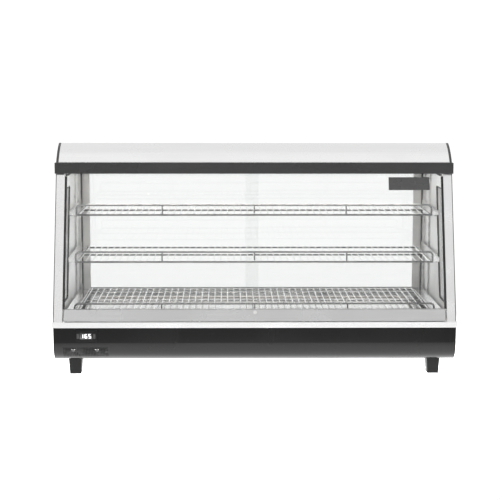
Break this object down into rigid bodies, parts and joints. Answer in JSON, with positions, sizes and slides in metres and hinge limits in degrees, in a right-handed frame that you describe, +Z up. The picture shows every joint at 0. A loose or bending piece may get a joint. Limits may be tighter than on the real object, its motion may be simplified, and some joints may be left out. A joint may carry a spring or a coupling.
{
  "type": "heated food display case",
  "caption": "Counter-top heated display case with leaning hinged front glass, rear sliding glass doors, lift-out wire shelves, side windows and a digital controller.",
  "frame": {"origin": "centre of the footprint, on the counter under the feet", "axes": "+X across the width, front glass faces -Y, rear doors face +Y, +Z up"},
  "size_m": [1.208, 0.5699, 0.6919],
  "materials": {
    "stainless": "brushed",
    "black_paint": "satin",
    "black_plastic": "matte",
    "seal": "matte",
    "glass": "polished",
    "aluminium": "satin anodised",
    "chrome": "polished plate",
    "fixings": "zinc plated",
    "element": "heat darkened",
    "lens": "frosted",
    "badge": "gloss",
    "rocker": "gloss"
  },
  "bodies": {
    "case": {"base_bottom": "black_paint", "base_end_left": "black_paint", "base_end_right": "black_paint", "base_front": "black_paint", "base_rear": "black_paint", "canopy": "stainless", "canopy_end_left": "black_paint", "canopy_end_right": "black_paint", "ceiling": "stainless", "controller_body": "black_plastic", "cord_gland": "black_plastic", "deck": "stainless", "door_gaskets": "seal", "door_track_bottom": "aluminium", "door_track_top": "aluminium", "element_clips": "fixings", "foot_bolts": "fixings", "foot_front_left": "black_plastic", "foot_front_right": "black_plastic", "foot_rear_left": "black_plastic", "foot_rear_right": "black_plastic", "front_stile_left": "stainless", "front_stile_right": "stainless", "heating_element": "element", "lamp_housing": "aluminium", "lamp_lens": "lens", "panel_screws": "fixings", "rear_post_left": "stainless", "rear_post_right": "stainless", "shelf_arms": "stainless", "side_glass_left": "glass", "side_glass_right": "glass", "side_seals": "seal", "side_skin_inner_left": "stainless", "side_skin_inner_right": "stainless", "side_skin_outer_left": "stainless", "side_skin_outer_right": "stainless", "switch_bezels": "black_plastic", "top_bar": "black_paint", "uprights": "stainless", "window_frames": "stainless"},
    "front_unit": {"front_glass": "glass", "front_rail": "stainless", "rail_knob": "fixings", "front_hinge": "aluminium", "badge_plate": "badge"},
    "left_door": {"door_glass_left": "glass", "door_pull_left": "aluminium"},
    "right_door": {"door_glass_right": "glass", "door_pull_right": "aluminium"},
    "top_shelf": {"shelf_top": "chrome", "shelf_guard_top": "chrome"},
    "middle_shelf": {"shelf_middle": "chrome", "shelf_guard_middle": "chrome"},
    "bottom_shelf": {"shelf_bottom": "chrome", "shelf_guard_bottom": "chrome"},
    "down_key": {"button_down": "black_plastic"},
    "set_key": {"button_set": "black_plastic"},
    "power_rocker": {"rocker_power": "rocker"},
    "light_rocker": {"rocker_light": "rocker"}
  },
  "joints": [
    {"name": "front_glass_hinge", "type": "hinge", "parent": "case", "child": "front_unit", "pos_m": [0, -0.1389, 0.606], "axis": [-1, 0, 0], "range_deg": [0, 55]},
    {"name": "left_door_slide", "type": "slide", "parent": "case", "child": "left_door", "axis": [1, 0, 0], "range_m": [0, 0.52]},
    {"name": "right_door_slide", "type": "slide", "parent": "case", "child": "right_door", "axis": [-1, 0, 0], "range_m": [0, 0.52]},
    {"name": "top_shelf_lift", "type": "slide", "parent": "case", "child": "top_shelf", "axis": [0, 0, 1], "range_m": [0, 0.02]},
    {"name": "middle_shelf_lift", "type": "slide", "parent": "case", "child": "middle_shelf", "axis": [0, 0, 1], "range_m": [0, 0.02]},
    {"name": "bottom_shelf_lift", "type": "slide", "parent": "case", "child": "bottom_shelf", "axis": [0, 0, 1], "range_m": [0, 0.02]},
    {"name": "down_key_press", "type": "slide", "parent": "case", "child": "down_key", "axis": [0, 1, 0], "range_m": [0, 0.0015], "stiffness_N_per_m": 600, "springref_m": -0.0005},
    {"name": "set_key_press", "type": "slide", "parent": "case", "child": "set_key", "axis": [0, 1, 0], "range_m": [0, 0.0015], "stiffness_N_per_m": 600, "springref_m": -0.0005},
    {"name": "power_rocker_tilt", "type": "hinge", "parent": "case", "child": "power_rocker", "pos_m": [-0.44, 0.2795, 0.112], "axis": [1, 0, 0], "range_deg": [-8, 8]},
    {"name": "light_rocker_tilt", "type": "hinge", "parent": "case", "child": "light_rocker", "pos_m": [-0.48, 0.2795, 0.112], "axis": [1, 0, 0], "range_deg": [-8, 8]}
  ]
}
